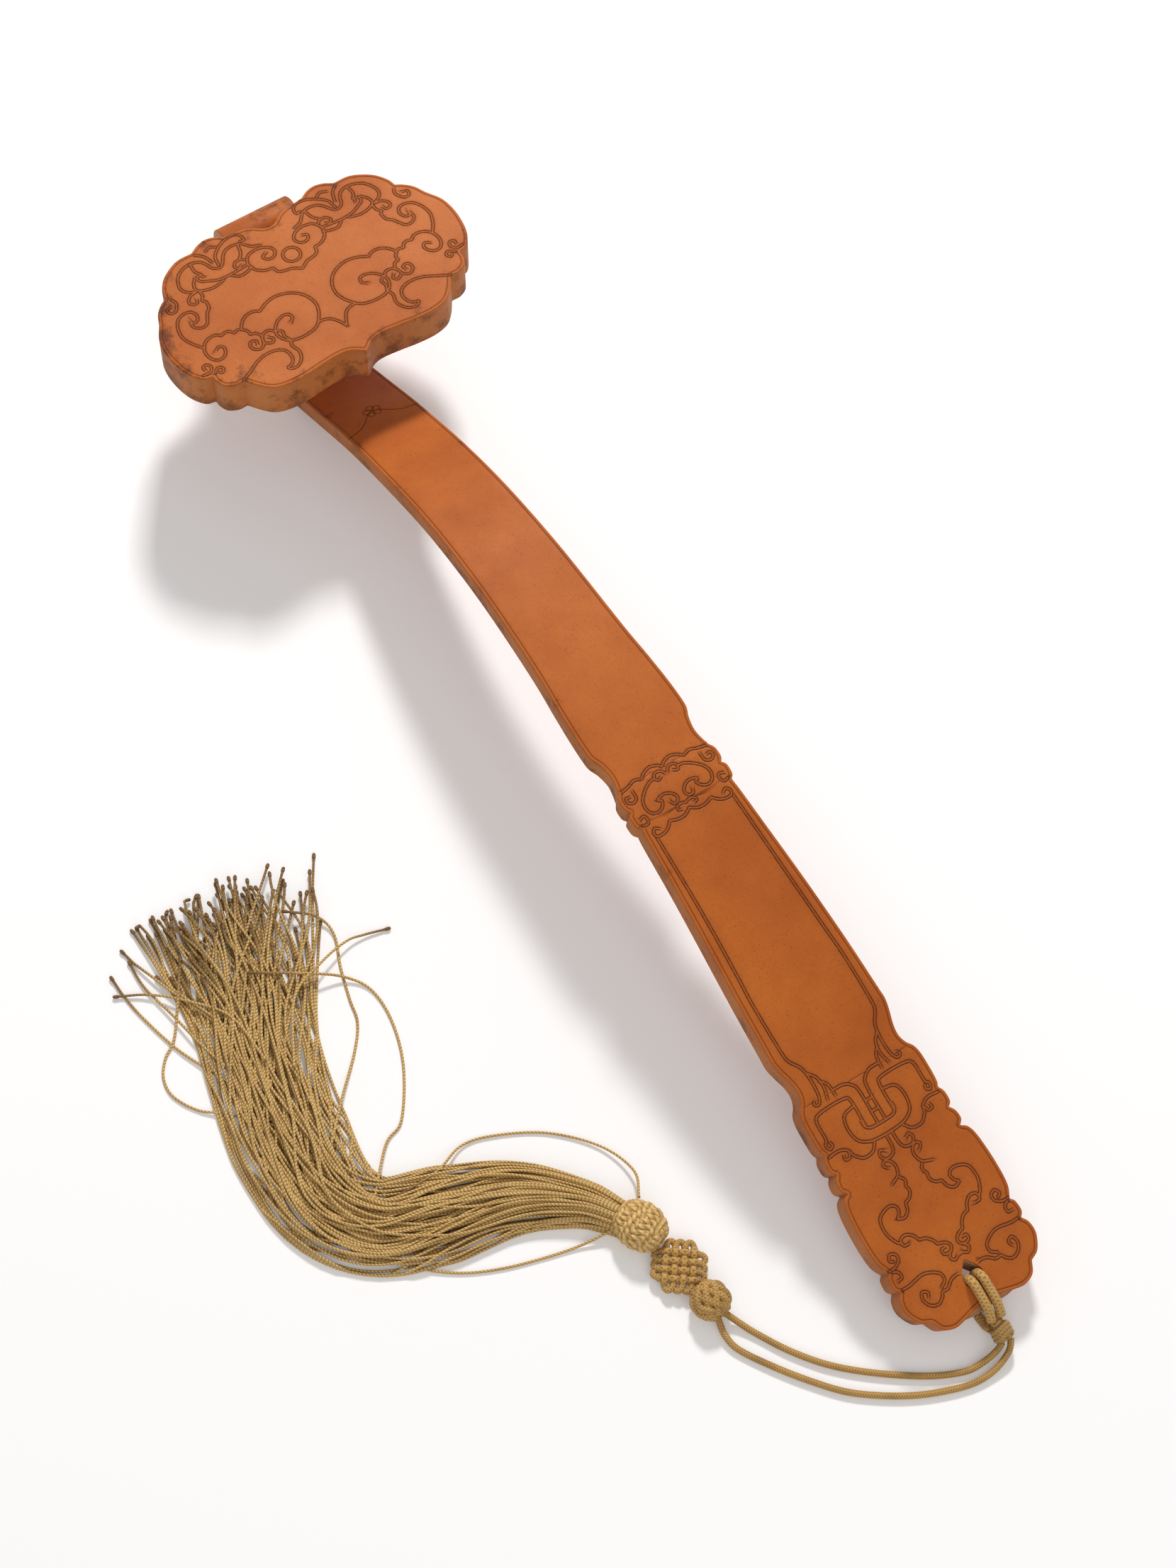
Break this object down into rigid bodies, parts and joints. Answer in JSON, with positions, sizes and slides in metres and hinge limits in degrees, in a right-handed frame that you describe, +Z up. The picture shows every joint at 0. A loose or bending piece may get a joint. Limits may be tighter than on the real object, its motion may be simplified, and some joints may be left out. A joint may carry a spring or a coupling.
{
  "type": "ruyi sceptre",
  "caption": "Ruyi sceptre in bamboo veneer: cloud-shaped head on a curled arched shaft with a raised middle band and lobed foot, with a knotted silk cord and tassel.",
  "frame": {"origin": "middle of the sceptre's own underside, on the surface it stands on, measured without the free cord and tassel", "axes": "+Y from the foot to the head, +Z up, X across the width"},
  "size_m": [0.2135, 0.4305, 0.0573],
  "materials": {
    "face_veneer": "satin bamboo veneer, carved lines",
    "edge_veneer": "satin bamboo veneer",
    "back_veneer": "satin bamboo veneer",
    "core_wood": "plain wood",
    "end_grain": "end grain",
    "silk_cord": "braided silk",
    "silk_tassel": "twisted silk strands"
  },
  "bodies": {
    "root": {"shaft_core": "core_wood", "shaft_back_veneer": "back_veneer", "shaft_edge_veneer_left": "edge_veneer", "shaft_edge_veneer_right": "edge_veneer", "foot_face_plaque": "face_veneer", "shaft_face_veneer_lower": "face_veneer", "middle_band_plaque": "face_veneer", "shaft_face_veneer_upper": "face_veneer", "roll_core": "core_wood", "roll_veneer": "face_veneer", "roll_end_cap_left": "end_grain", "roll_end_cap_right": "end_grain", "head_face_veneer": "face_veneer", "head_core": "core_wood", "head_back_veneer": "back_veneer", "head_edge_veneer_left": "edge_veneer", "head_edge_veneer_right": "edge_veneer", "cord_loop_left": "silk_cord", "cord_loop_right": "silk_cord", "cord_wrap": "silk_cord", "cord_leg_left": "silk_cord", "cord_leg_right": "silk_cord", "button_knot": "silk_cord", "brocade_knot": "silk_cord", "tassel_head": "silk_cord", "tassel_skirt": "silk_tassel"}
  },
  "joints": []
}
